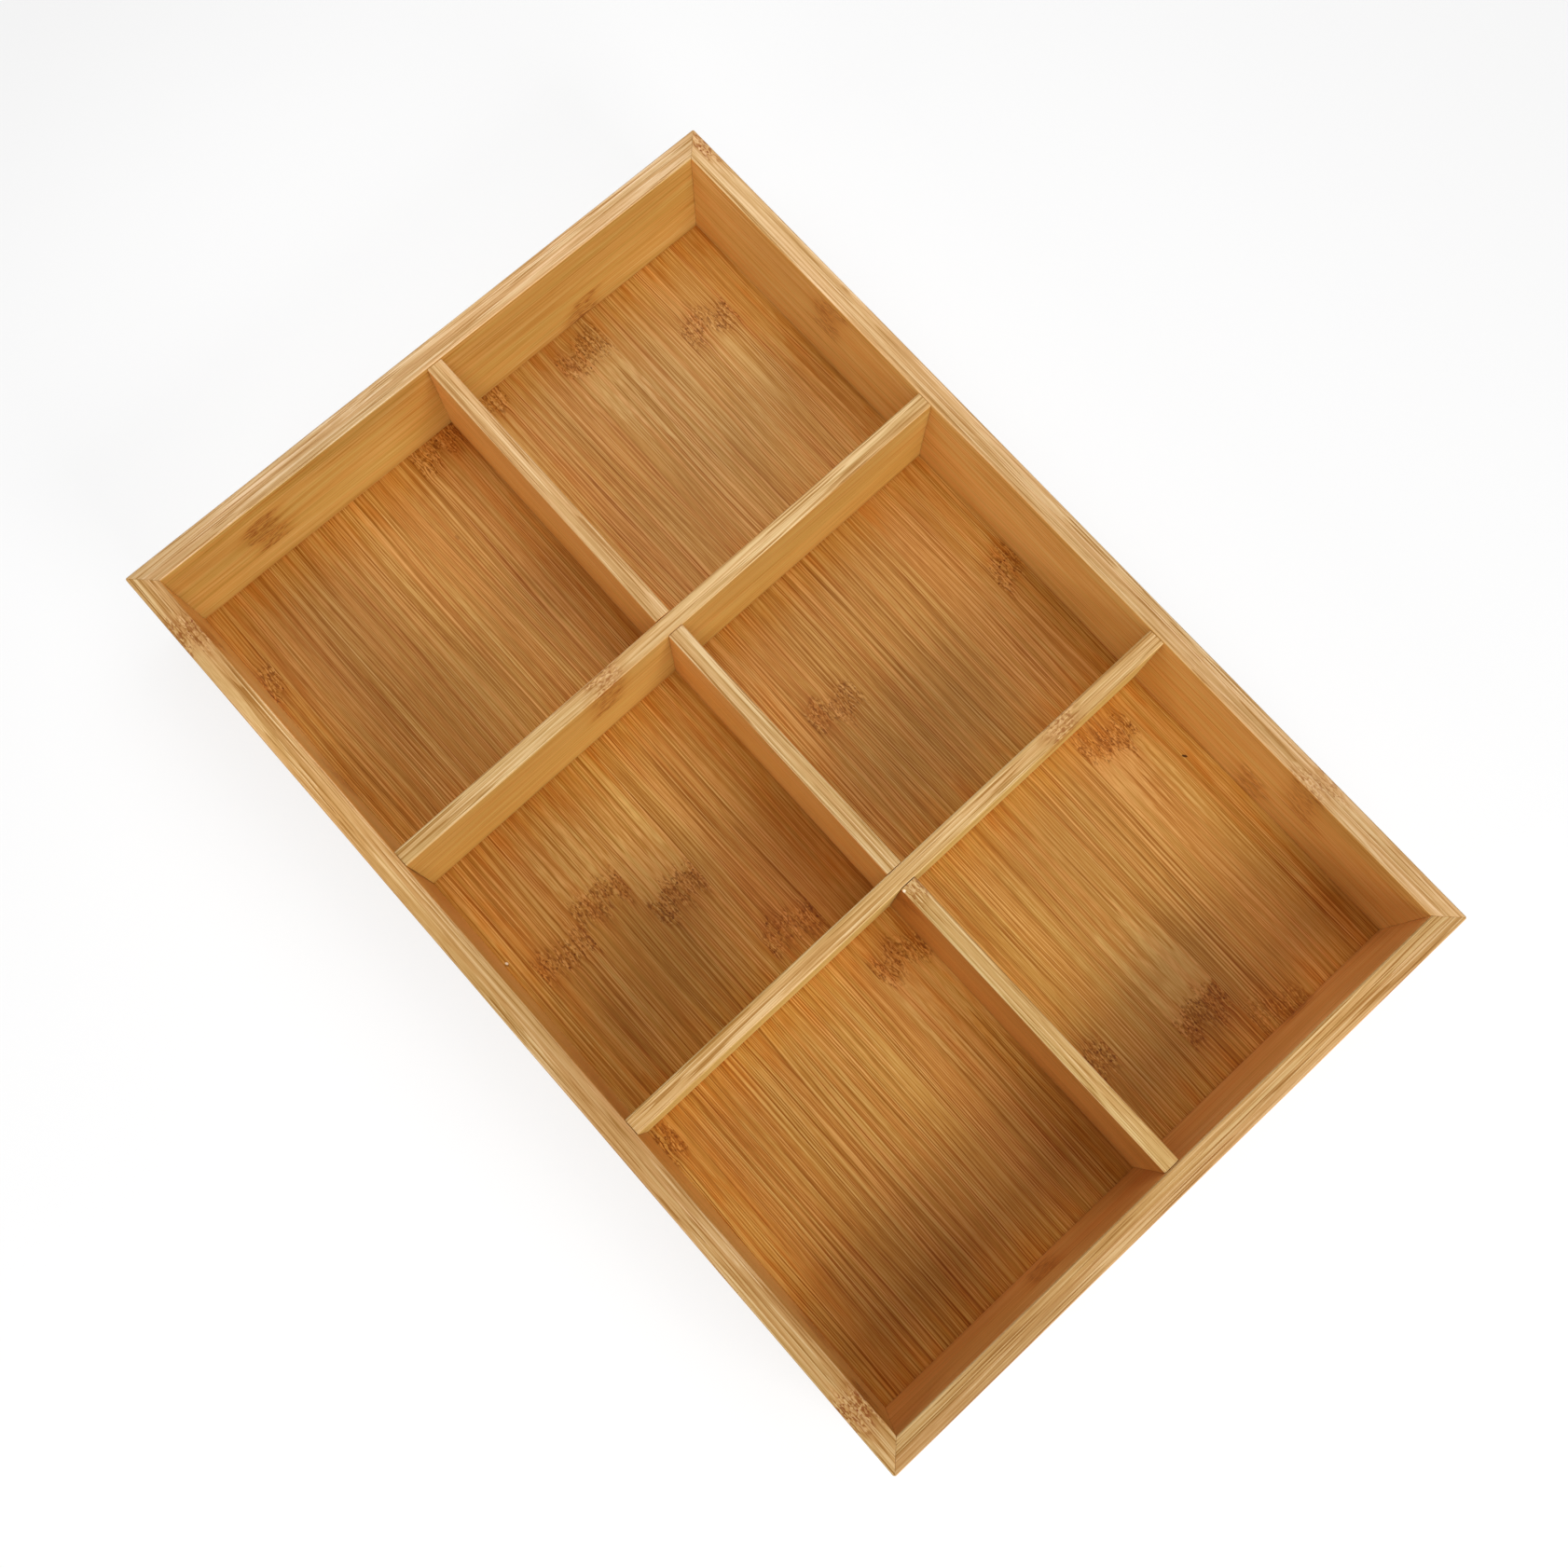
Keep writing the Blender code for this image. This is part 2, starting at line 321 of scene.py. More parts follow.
fibreLook = {
    "drift": {"size": (70, 14, 14), "seed": 23.0},
    "driftReach": 2.4,
    "hair": {"size": (28, 0.34, 0.34), "seed": 1.3, "steep": 0.15},
    "short": {"size": (3.2, 0.4, 0.4), "seed": 19.3, "steep": 0.12},
    "thread": {"size": (36, 0.78, 0.78), "seed": 5.9, "steep": 0.16},
    "cord": {"size": (18, 1.6, 1.6), "seed": 9.4, "steep": 0.20},
    "ribbon": {"size": (44, 4.2, 4.2), "seed": 13.7, "steep": 0.24},
    "warmth": {"size": (50, 2.0, 2.0), "seed": 31.0, "steep": 0.2},
    "line": {"size": (30, 0.5, 0.5), "seed": 77.0},
    "lineEdge": (0.38, 0.32),
    "gleam": {"size": (44, 0.5, 0.5), "seed": 67.0},
    "gleamEdge": (0.60, 0.65),
    "gleamShare": -0.85,  # of a line's depth
    "busy": {"size": (60, 8, 8), "seed": 91.0},
    "busySpread": (0.35, 0.65),
    "busyShare": (0.75, 1.2),
    "calmLoss": -0.7,  # of the fine fibres
    "shortShare": 0.25,
    "shortInCalm": 0.3,
}


def makeFibreTone():
    group, take, give = newGroup(
        "fibreTone",
        {"Vector": None, "Bend": 0.0, "Calm": 0.0, "Shorten": 1.0, "Hair": 0.2, "Thread": 0.2, "Cord": 0.2,
         "Ribbon": 0.2, "Line": 0.2},
        {"Float": ("Tone", "Fibre", "Warmth")},
    )
    look = fibreLook

    # The bundles wander a little, and swing round a knuckle
    drift = maths(group, "SUBTRACT", stretchedNoise(group, take["Vector"], **look["drift"]), 0.5)
    drift = maths(group, "MULTIPLY_ADD", drift, look["driftReach"], take["Bend"])
    offset = addNode(group, "ShaderNodeCombineXYZ", {"Y": drift}).outputs[0]
    shorten = addNode(group, "ShaderNodeCombineXYZ", {"X": take["Shorten"], "Y": 1.0, "Z": 1.0}).outputs[0]
    vector = vectorMaths(group, "ADD", take["Vector"], offset)[0]
    vector = vectorMaths(group, "MULTIPLY", vector, shorten)[0]

    def pattern(name):
        return stretchedNoise(group, vector, **look[name])

    def layer(size, seed, steep):
        value = stretchedNoise(group, vector, size, seed)
        return smoothStep(group, value, 0.5 - steep, 0.5 + steep, -1.0, 1.0)

    line = smoothStep(group, pattern("line"), *look["lineEdge"])
    gleam = smoothStep(group, pattern("gleam"), *look["gleamEdge"])
    line = maths(group, "MULTIPLY_ADD", gleam, look["gleamShare"], line)
    hair = product(group, layer(**look["hair"]), take["Hair"])
    fine = maths(group, "MULTIPLY_ADD", layer(**look["thread"]), take["Thread"], hair)
    fine = maths(group, "SUBTRACT", fine, product(group, line, take["Line"]))
    calm = smoothStep(group, take["Calm"], 0.0, 1.0)
    busy = smoothStep(group, pattern("busy"), *look["busySpread"], *look["busyShare"])
    fine = product(group, fine, maths(group, "MULTIPLY_ADD", calm, look["calmLoss"], busy))
    short = product(group, layer(**look["short"]), take["Hair"])
    shortShare = maths(group, "MULTIPLY_ADD", calm, look["shortInCalm"], look["shortShare"])
    fine = maths(group, "MULTIPLY_ADD", short, shortShare, fine)
    tone = maths(group, "MULTIPLY_ADD", layer(**look["cord"]), take["Cord"], fine)
    tone = maths(group, "MULTIPLY_ADD", layer(**look["ribbon"]), take["Ribbon"], tone)
    feedAll(group, give, {"Tone": tone, "Fibre": fine, "Warmth": layer(**look["warmth"])})
    return group


finishLook = {
    "toneShares": {"Calm": 0.6, "Band": -0.2, "Pale": 0.9, "Seam": -0.35},
    "coolTint": (0.975, 1.01, 0.97, 1.0),
    "warmTint": (1.025, 0.97, 0.95, 1.0),
    "bandTint": (0.96, 0.89, 0.83, 1.0),
    "darkShare": 0.9,
    "fibreGloss": -0.03,
    "darkDepth": -1.5,
}


def makeBambooFinish():
    # Tone goes from -1, the shade colour, over 0, the body's, to 1, the light colour
    group, take, give = newGroup(
        "bambooFinish",
        {"Tone": 0.0, "Fibre": 0.0, "Warmth": 0.0, "Band": 0.0, "Dark": 0.0, "Pale": 0.0, "Calm": 0.0,
         "Seam": 0.0, "Shade Colour": linear(140, 80, 26), "Body Colour": linear(172, 114, 56),
         "Light Colour": linear(202, 148, 88), "Knuckle Colour": linear(104, 52, 16), "Roughness": 0.4},
        {"Color": ("Color",), "Float": ("Roughness", "Height")},
    )
    look = finishLook
    tone = take["Tone"]
    for title, share in look["toneShares"].items():
        tone = maths(group, "MULTIPLY_ADD", take[title], share, tone)
    up = maths(group, "MAXIMUM", tone, 0.0, clamp=True)
    down = maths(group, "MULTIPLY", maths(group, "MINIMUM", tone, 0.0), -1.0, clamp=True)
    colour = mixColours(group, up, take["Body Colour"], take["Light Colour"])
    colour = mixColours(group, down, colour, take["Shade Colour"])
    warm = smoothStep(group, take["Warmth"], -1.0, 1.0)
    tint = mixColours(group, warm, look["coolTint"], look["warmTint"])
    colour = mixColours(group, 1.0, colour, tint, "MULTIPLY")
    colour = mixColours(group, take["Band"], colour, look["bandTint"], "MULTIPLY")
    dark = product(group, take["Dark"], look["darkShare"])
    colour = mixColours(group, dark, colour, take["Knuckle Colour"])
    feedAll(group, give, {
        "Color": colour,
        "Roughness": maths(group, "MULTIPLY_ADD", take["Fibre"], look["fibreGloss"], take["Roughness"]),
        "Height": maths(group, "MULTIPLY_ADD", take["Dark"], look["darkDepth"], take["Fibre"]),
    })
    return group


def makeFootStainAndPaintedShading():
    # Painted light near a board's foot, painted corner shade where two boards meet, and stain with painted
    # bounce light
    group, take, give = newGroup(
        "footStainAndPaintedShading",
        {"Color": (1.0, 1.0, 1.0, 1.0),
         "Near": 0.0, "Near Colour": (1.0, 1.0, 1.0, 1.0),
         "Touch": 0.0, "Touch Colour": (0.86, 0.78, 0.7, 1.0),
         "StainAndPaintedBounce": 0.0, "StainAndPaintedBounce Colour": (0.98, 0.8, 0.55, 1.0)},
        {"Color": ("Color",)},
    )
    colour = take["Color"]
    for title in ("Near", "StainAndPaintedBounce", "Touch"):
        colour = mixColours(group, take[title], colour, take[title + " Colour"], "MULTIPLY")
    feed(group, give["Color"], colour)
    return group


stripLayout = makeStripLayout()
knuckleMarks = makeKnuckleMarks()
fibreTone = makeFibreTone()
bambooFinish = makeBambooFinish()
footStainAndPaintedShading = makeFootStainAndPaintedShading()


def grainMapping(tree, grainAngle, standing, centre):
    # Turns the board's place into millimetres along the grain, across the strips and through the board
    turn = Matrix.Rotation(-grainAngle, 3, "Z")
    if standing:
        turn = Matrix.Rotation(math.radians(-90), 3, "X") @ turn
    move = -(turn @ (Vector(centre) * metresToMillimetres))
    wires = {
        "Vector": addNode(tree, "ShaderNodeTexCoord").outputs["Object"],
        "Scale": (metresToMillimetres,) * 3,
        "Rotation": turn.to_euler("XYZ"),
        "Location": move,
    }
    return addNode(tree, "ShaderNodeMapping", wires).outputs["Vector"]


def knuckleRamp(tree, index, strips, knuckles):
    # A step for each strip. Red holds the knuckle's place, green the side its flame points to, blue its
    # strength
    reach = 500.0
    place = maths(tree, "DIVIDE", maths(tree, "ADD", index, 0.5), float(strips))
    made = addNode(tree, "ShaderNodeValToRGB", {"Fac": place})
    ramp = made.color_ramp
    ramp.interpolation = "CONSTANT"
    for strip in range(strips):
        stop = ramp.elements[0] if strip == 0 else ramp.elements.new(strip / strips)
        along, flame, strength = knuckles.get(strip, (0.0, 0.0, 0.0))
        stop.color = ((along + reach) / (2 * reach), (flame + 1) / 2, strength, 1.0)
    ramp.elements.remove(ramp.elements[-1])
    parts = addNode(tree, "ShaderNodeSeparateColor", {"Color": made.outputs["Color"]}).outputs
    along = maths(tree, "MULTIPLY_ADD", parts["Red"], 2 * reach, -reach)
    flame = maths(tree, "MULTIPLY_ADD", parts["Green"], 2.0, -1.0)
    return along, flame, parts["Blue"]


markLook = {
    "spotEdge": (0.6, 0.35),  # as shares of its size
    "patchEdge": (1.0, 0.2),
}


def makeSpot(tree, vector, spot):
    # 1 inside a small oval mark on the surface
    wires = {"Vector": vector, "Location": spot["place"], "Rotation": (0, 0, math.radians(spot["angle"])),
             "Scale": spot["size"]}
    near = addNode(tree, "ShaderNodeMapping", wires, vector_type="TEXTURE").outputs["Vector"]
    length = vectorMaths(tree, "LENGTH", near)["Value"]
    return product(tree, smoothStep(tree, length, *markLook["spotEdge"]), spot["strength"])


def addPatch(tree, vector, colour, patch):
    # A broad soft patch makes a place a little darker, paler or redder: partly the wood's own colour, partly
    # painted light and shade
    wires = {"Vector": vector, "Location": patch["place"], "Scale": patch["size"]}
    near = addNode(tree, "ShaderNodeMapping", wires, vector_type="TEXTURE").outputs["Vector"]
    length = vectorMaths(tree, "LENGTH", near)["Value"]
    share = smoothStep(tree, length, *markLook["patchEdge"])
    return mixColours(tree, share, colour, (*patch["tint"], 1.0), "MULTIPLY")


# Where the painted light, the painted corner shade and the stain blotches lie near the boards' feet
footLook = {
    # Painted light up a board towards its foot, and painted warm bounce light on the floor near a board
    "wallNear": (44.0, 9.0),  # height above the tray's underside, in millimetres
    # Painted corner shade: up a board just over the floor, and on the floor just beside a board
    "wallTouch": (12.0, 9.0),
    "floorNear": (18.0, 0.0),  # distance to the nearest board
    "floorTouch": (1.6, 0.0),
    # Blotches near the boards, partly lacquer stain, partly painted warm bounce light
    "floorStainAndPaintedBounce": (26.0, 2.0),
    "stains": {"size": (20, 3.4, 4), "seed": 61.0, "detail": 2.0},
    "stainAndPaintedBounceEdge": (0.50, 0.62),
}


def footOfBoard(tree, vector, look):
    # Masks up a standing board's faces, for painted light near its foot and painted corner shade over the
    # floor. A wall's outer side, past 0 in Z, has no floor against it
    parts = partsOf(tree, vector)
    near = smoothStep(tree, parts["Y"], *footLook["wallNear"])
    touch = smoothStep(tree, parts["Y"], *footLook["wallTouch"])
    inner = maths(tree, "LESS_THAN", parts["Z"], look["innerSide"])
    return {"Near": near, "Touch": product(tree, touch, inner)}


def footOnFloor(tree, vector):
    # Masks on the floor's upper side, by the distance to the nearest board: painted bounce light, stain
    # blotches and painted corner shade
    parts = partsOf(tree, vector)
    upper = maths(tree, "GREATER_THAN", parts["Z"], 0.0)
    lines = (innerX, innerY, crossX, crossingY, dividerThickness / 2)
    wallX, wallY, cross, crossing, half = [line * metresToMillimetres for line in lines]

    def off(value, line):
        # Distance to a line on both sides of 0
        return maths(tree, "SUBTRACT", maths(tree, "ABSOLUTE", value), line)

    toWallX = maths(tree, "SUBTRACT", wallX, maths(tree, "ABSOLUTE", parts["X"]))
    toWallY = maths(tree, "SUBTRACT", wallY, maths(tree, "ABSOLUTE", parts["Y"]))
    leaning = maths(tree, "MULTIPLY_ADD", parts["Y"], math.tan(dividerLook["skew"]), parts["X"])
    toCross = off(off(leaning, cross), half)
    toMiddle = off(maths(tree, "SUBTRACT", parts["Y"], crossing), half)
    distance = maths(tree, "MINIMUM", toWallX, toWallY)
    distance = maths(tree, "MINIMUM", distance, maths(tree, "MINIMUM", toCross, toMiddle))
    stains = smoothStep(tree, stretchedNoise(tree, vector, **footLook["stains"]), *footLook["stainAndPaintedBounceEdge"])
    return {
        "Near": product(tree, smoothStep(tree, distance, *footLook["floorNear"]), upper),
        "StainAndPaintedBounce": product(tree, stains, smoothStep(tree, distance, *footLook["floorStainAndPaintedBounce"]), upper),
        "Touch": product(tree, smoothStep(tree, distance, *footLook["floorTouch"]), upper),
    }


bambooLook = {
    "edgeTurn": (0.35, 0.75),  # how far up the surface faces, from a board's face to its edge
    "cornerTurn": (0.2, 0.5),  # onto the rounded corner between them
    "cornerEnd": (0.97, 0.75),  # and off it again
    "glueTone": -0.5,
    "stripWarmth": 0.8,
    "middleWarmth": -0.4,
    "edgeWarmth": 0.3,
    "pairSpread": (0.2, 0.8),
    "coatRoughness": 0.35,
}


def makeBamboo(name, look, grainAngle, standing, centre):
    material, tree, shader = newMaterial(name)
    vector = grainMapping(tree, grainAngle, standing, centre)
    along = partsOf(tree, vector)["X"]
    strips = addGroup(tree, stripLayout, {
        "Vector": vector, "Width": look["stripWidth"], "Shift": look["stripShift"], "Rows": look["rows"],
        "Two Plies": look["plies"] - 1, "Seed": look["seed"]})

    # The boards' edges are sanded across the strips, and look paler and plainer than their faces, whose
    # colours also carry some painted bounce light
    if standing:
        normal = addNode(tree, "ShaderNodeNewGeometry").outputs["Normal"]
        upright = maths(tree, "ABSOLUTE", partsOf(tree, normal)["Z"])
        edge = smoothStep(tree, upright, *bambooLook["edgeTurn"])
        # The rounded corner between a board's face and its edge, where a painted highlight goes, partly
        # sanding wear
        corner = product(tree, smoothStep(tree, upright, *bambooLook["cornerTurn"]),
                         smoothStep(tree, upright, *bambooLook["cornerEnd"]))

    def onEdge(pair):
        # A standing board's pair of values is for its faces and for its edges
        return maths(tree, "MULTIPLY_ADD", edge, pair[1] - pair[0], pair[0]) if standing else pair

    masks = {"Dark": 0.0, "Pale": 0.0, "Band": 0.0, "Calm": 0.0, "Bend": 0.0}
    stripCount = look["rows"] * look["plies"]
    for knuckles in look["knuckles"]:
        place, flame, strength = knuckleRamp(tree, strips["Index"], stripCount, knuckles)
        marks = addGroup(tree, knuckleMarks, {
            "Vector": strips["Vector"], "Along": maths(tree, "SUBTRACT", along, place), "Flame": flame,
            "Strength": strength, "Rough": onEdge(look["rough"])})
        for key in masks:
            masks[key] = maths(tree, "ADD", masks[key], marks[key])

    layers = {key: onEdge(share) for key, share in look["fibres"].items()}
    fibres = addGroup(tree, fibreTone, {
        "Vector": strips["Vector"], "Bend": masks["Bend"], "Calm": masks["Calm"], "Shorten": look["shorten"],
        **layers})
    spread = maths(tree, "MULTIPLY_ADD", strips["Tone"], 2 * look["stripSpread"], -look["stripSpread"])
    tone = maths(tree, "ADD", fibres["Tone"], spread)
    warmth = maths(tree, "ADD", fibres["Warmth"], bambooLook["middleWarmth"])
    warmth = maths(tree, "MULTIPLY_ADD", strips["Tint"], bambooLook["stripWarmth"], warmth)
    colours = {"Shade": look["shade"], "Body": look["body"], "Light": look["light"]}
    if standing:
        glue = product(tree, strips["Glue Line"], edge)
        # A painted highlight along the rounded corners, partly sanding wear
        tone = maths(tree, "MULTIPLY_ADD", corner, look["cornerTone"], tone)
        tone = maths(tree, "MULTIPLY_ADD", glue, bambooLook["glueTone"], tone)
        warmth = product(tree, warmth, onEdge((1.0, bambooLook["edgeWarmth"])))
        for key in colours:
            colours[key] = mixColours(tree, edge, colours[key], look["edge" + key])

    finish = addGroup(tree, bambooFinish, {
        "Tone": tone, "Fibre": fibres["Fibre"], "Warmth": warmth, "Seam": strips["Seam"],
        "Band": masks["Band"], "Dark": masks["Dark"], "Calm": masks["Calm"],
        "Pale": product(tree, masks["Pale"], onEdge(look["paleSpots"])),
        "Shade Colour": colours["Shade"], "Body Colour": colours["Body"], "Light Colour": colours["Light"],
        "Knuckle Colour": look["knuckle"], "Roughness": look["roughness"]})
    colour = finish["Color"]
    if standing:
        pairShare = smoothStep(tree, strips["Tint"], *bambooLook["pairSpread"])
        pair = mixColours(tree, pairShare, look["edgeCool"], look["edgeWarm"])
        colour = mixColours(tree, edge, colour, pair, "MULTIPLY")

    # Painted light near each board's foot, painted corner shade where boards meet, and stain with painted
    # bounce light
    feet = footOfBoard(tree, vector, look) if standing else footOnFloor(tree, vector)
    feet.update({"Color": colour, "Near Colour": look["nearFoot"], "Touch Colour": look["atFoot"]})
    if "footStainAndPaintedBounce" in look:
        feet["StainAndPaintedBounce Colour"] = look["footStainAndPaintedBounce"]
    colour = addGroup(tree, footStainAndPaintedShading, feet)["Color"]
    for patch in look["patches"]:
        colour = addPatch(tree, vector, colour, patch)
    for spot in look["spots"]:
        colour = mixColours(tree, makeSpot(tree, vector, spot), colour, spot["colour"])

    bump = {"Height": finish["Height"], "Distance": look["relief"], "Strength": 1.0}
    feedAll(tree, shader.inputs, {
        "Base Color": colour, "Roughness": finish["Roughness"],
        "Normal": addNode(tree, "ShaderNodeBump", bump).outputs["Normal"],
        "Specular IOR Level": look["specular"], "Coat Weight": look["coat"],
        "Coat Roughness": bambooLook["coatRoughness"]})
    return material


# Boards

boardLook = {
    "sharpAngle": math.radians(42),
    "arrisRadius": 0.0007,
    "arrisSegments": 4,
    "easeSegments": 2,
    "stationPitch": 0.004,  # between the cuts along a board
    "waver": 0.00005,
    "waverLength": 0.03,
    "farEdge": 0.004,  # an edge past this has a waver of its own
    "longShare": 0.9,  # of the board's length, past which an edge counts as a long one
}


def boardBlank(length, low, high, roundEdges):
    # A board along X, centred on it, from low to high in Y and Z, with rounded long edges
    bm = bmesh.new()
    bmesh.ops.create_cube(bm, size=1)
    size = Vector((length, high[0] - low[0], high[1] - low[1]))
    middle = Vector((0, (low[0] + high[0]) / 2, (low[1] + high[1]) / 2))
    bmesh.ops.scale(bm, vec=size, verts=bm.verts)
    bmesh.ops.translate(bm, vec=middle, verts=bm.verts)
    edges = []
    for edge in longEdges(bm, length):
        atTop = edge.verts[0].co.z > middle.z
        if roundEdges == "all" or atTop:
            edges.append(edge)
    bmesh.ops.bevel(bm, geom=edges, offset=boardLook["arrisRadius"], segments=boardLook["arrisSegments"],
                    profile=0.5, affect="EDGES", material=-1)
    stations = round(length / boardLook["stationPitch"])
    bmesh.ops.subdivide_edges(bm, edges=longEdges(bm, length), cuts=stations, use_grid_fill=True)
    return bm


def longEdges(bm, length):
    least = boardLook["longShare"] * length
    return [edge for edge in bm.edges if abs(edge.verts[0].co.x - edge.verts[1].co.x) > least]


def waverEdges(bm, seed):
    # Sanding by hand leaves the upper edges a few hundredths of a millimetre off straight
    bm.normal_update()
    top = max(vert.co.z for vert in bm.verts)
    for vert in bm.verts:
        if vert.co.z > top - 2 * boardLook["arrisRadius"]:
            farEdge = 1 if vert.co.y > boardLook["farEdge"] else 0
            place = Vector((vert.co.x / boardLook["waverLength"], seed, farEdge))
            vert.co += vert.normal * boardLook["waver"] * noise.noise(place)


def trimEnd(bm, point, outward, ease):
    # Cuts off what lies past a plane, closes the cut and takes the sharpness off its rim
    everything = [*bm.verts, *bm.edges, *bm.faces]
    bmesh.ops.bisect_plane(bm, geom=everything, plane_co=point, plane_no=outward, clear_outer=True)
    rim = [edge for edge in bm.edges if edge.is_boundary]
    bmesh.ops.contextual_create(bm, geom=rim)
    rim = [edge for edge in rim if edge.is_valid]
    if ease:
        bmesh.ops.bevel(bm, geom=rim, offset=ease, segments=boardLook["easeSegments"], profile=0.5,
                        affect="EDGES", material=-1)


def finishPiece(name, bm, matrix):
    # Puts the shape in its place and makes it an object that sits at the origin
    bmesh.ops.transform(bm, matrix=matrix, verts=bm.verts)
    bmesh.ops.recalc_face_normals(bm, faces=bm.faces)
    mesh = bpy.data.meshes.new(name)
    bm.to_mesh(mesh)
    bm.free()
    piece = bpy.data.objects.new(name, mesh)
    bpy.context.scene.collection.objects.link(piece)
    return piece


def settleModifiers(piece):
    # The piece's mesh becomes what its modifiers make of it
    bpy.context.view_layer.update()
    shaped = piece.evaluated_get(bpy.context.evaluated_depsgraph_get())
    mesh = bpy.data.meshes.new_from_object(shaped)
    piece.modifiers.clear()
    old = piece.data
    piece.data = mesh
    bpy.data.meshes.remove(old)
    mesh.name = piece.name


hiddenJoints = {
    "clearance": 0.0001,  # round the pins and keys, inside the boards
    "panelClearance": 0.00005,  # over and under the floor panel's edges
    "grooveDepth": 0.004,
    "mergeDistance": 0.00001,
}


def makeJointCutter():
    # The panel's groove and every pin's and key's hole, as one closed shape
    bm = bmesh.new()
    low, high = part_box("floor_panel")
    inner = Vector((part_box("wall_right")[0].x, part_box("wall_back")[0].y, 0))
    reach = inner + Vector((hiddenJoints["grooveDepth"], hiddenJoints["grooveDepth"], 0))
    height = high.z - low.z + 2 * hiddenJoints["panelClearance"]
    scale = Matrix.Diagonal((2 * reach.x, 2 * reach.y, height, 1))
    bmesh.ops.create_cube(bm, size=1, matrix=Matrix.Translation((0, 0, (low.z + high.z) / 2)) @ scale)
    for name in sealedNodes:
        low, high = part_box(name)
        middle = (low + high) / 2
        grow = [(side + 2 * hiddenJoints["clearance"]) / side for side in high - low]
        copy = bmesh.new()
        copy.from_mesh(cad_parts[name].data)
        bmesh.ops.remove_doubles(copy, verts=copy.verts, dist=hiddenJoints["mergeDistance"])
        bmesh.ops.scale(copy, vec=grow, verts=copy.verts, space=Matrix.Translation(-middle))
        grown = bpy.data.meshes.new("grown")
        copy.to_mesh(grown)
        copy.free()
        bm.from_mesh(grown)
        bpy.data.meshes.remove(grown)
    cutter = finishPiece("jointCutter", bm, Matrix.Identity(4))
    cutter.hide_render = True
    return cutter


def cutJoints(piece):
    cut = piece.modifiers.new("joints", "BOOLEAN")
    cut.operation = "DIFFERENCE"
    cut.solver = "EXACT"
    cut.object = jointCutter
    settleModifiers(piece)


def dressPiece(piece, node, material):
    piece.data.materials.clear()
    piece.data.materials.append(material)
    bm = bmesh.new()
    bm.from_mesh(piece.data)
    bm.normal_update()
    for face in bm.faces:
        face.smooth = True
    for edge in bm.edges:
        edge.smooth = edge.calc_face_angle(0) < boardLook["sharpAngle"]
    bm.to_mesh(piece.data)
    bm.free()
    weigh = piece.modifiers.new("flatFaces", "WEIGHTED_NORMAL")
    weigh.keep_sharp = True
    settleModifiers(piece)
    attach(piece, "root")
    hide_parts(node)


sealedNodes = [name for name in sorted(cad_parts) if "_pin_" in name or "_key_" in name]
jointCutter = makeJointCutter()
print("joint cutter made:", len(sealedNodes), "pins and keys")

wallLook = {
    "mitreGap": 0.00004,
    "mitreEase": 0.0001,
    "cornerEase": 0.0005,  # sanded off each outer upright corner
}

# Strips are in millimetres and the relief in metres. A pair of values is for a board's faces and its edges
wallBamboo = {
    "stripWidth": 20.5, "rows": 4, "plies": 2, "rough": (0.0, 1.0), "spots": [],
    "fibres": {"Hair": (0.20, 0.26), "Thread": (0.18, 0.22), "Cord": (0.08, 0.08), "Ribbon": (0.10, 0.06),
               "Line": (0.35, 0.95)},
    # The corner tone is a painted highlight on the rounded corners, partly sanding wear
    "shorten": 0.8, "stripSpread": 0.10, "cornerTone": 0.35, "paleSpots": (0.4, 0.8),
    # The face colours are redder than the edge colours by more than the wood's own difference: painted
    # bounce light
    "shade": linear(172, 111, 41), "body": linear(201, 147, 76), "light": linear(215, 173, 110),
    "edgeShade": linear(154, 111, 56), "edgeBody": linear(188, 150, 97), "edgeLight": linear(211, 181, 136),
    "knuckle": linear(128, 64, 22), "edgeCool": (0.99, 1.0, 0.95, 1.0), "edgeWarm": (1.01, 1.0, 1.05, 1.0),
    # Painted light, lighter and paler towards the foot, and painted corner shade just over the floor
    "nearFoot": (1.08, 1.12, 1.13, 1.0), "atFoot": (0.88, 0.82, 0.76, 1.0), "innerSide": 0.0,
    "roughness": 0.42, "relief": 0.00002, "specular": 0.1, "coat": 0.03,
}


def floorPatch(place, size, tint):
    return {"place": (*place, 0), "size": (*size, 20), "tint": tint}


def rimPatch(along, reach, tint):
    return {"place": (along, 50, 0), "size": (reach, 14, 20), "tint": tint}


def facePatch(along, reach, tint):
    # On a wall's inner face
    return {"place": (along, 30, -4), "size": (reach, 30, 5), "tint": tint}


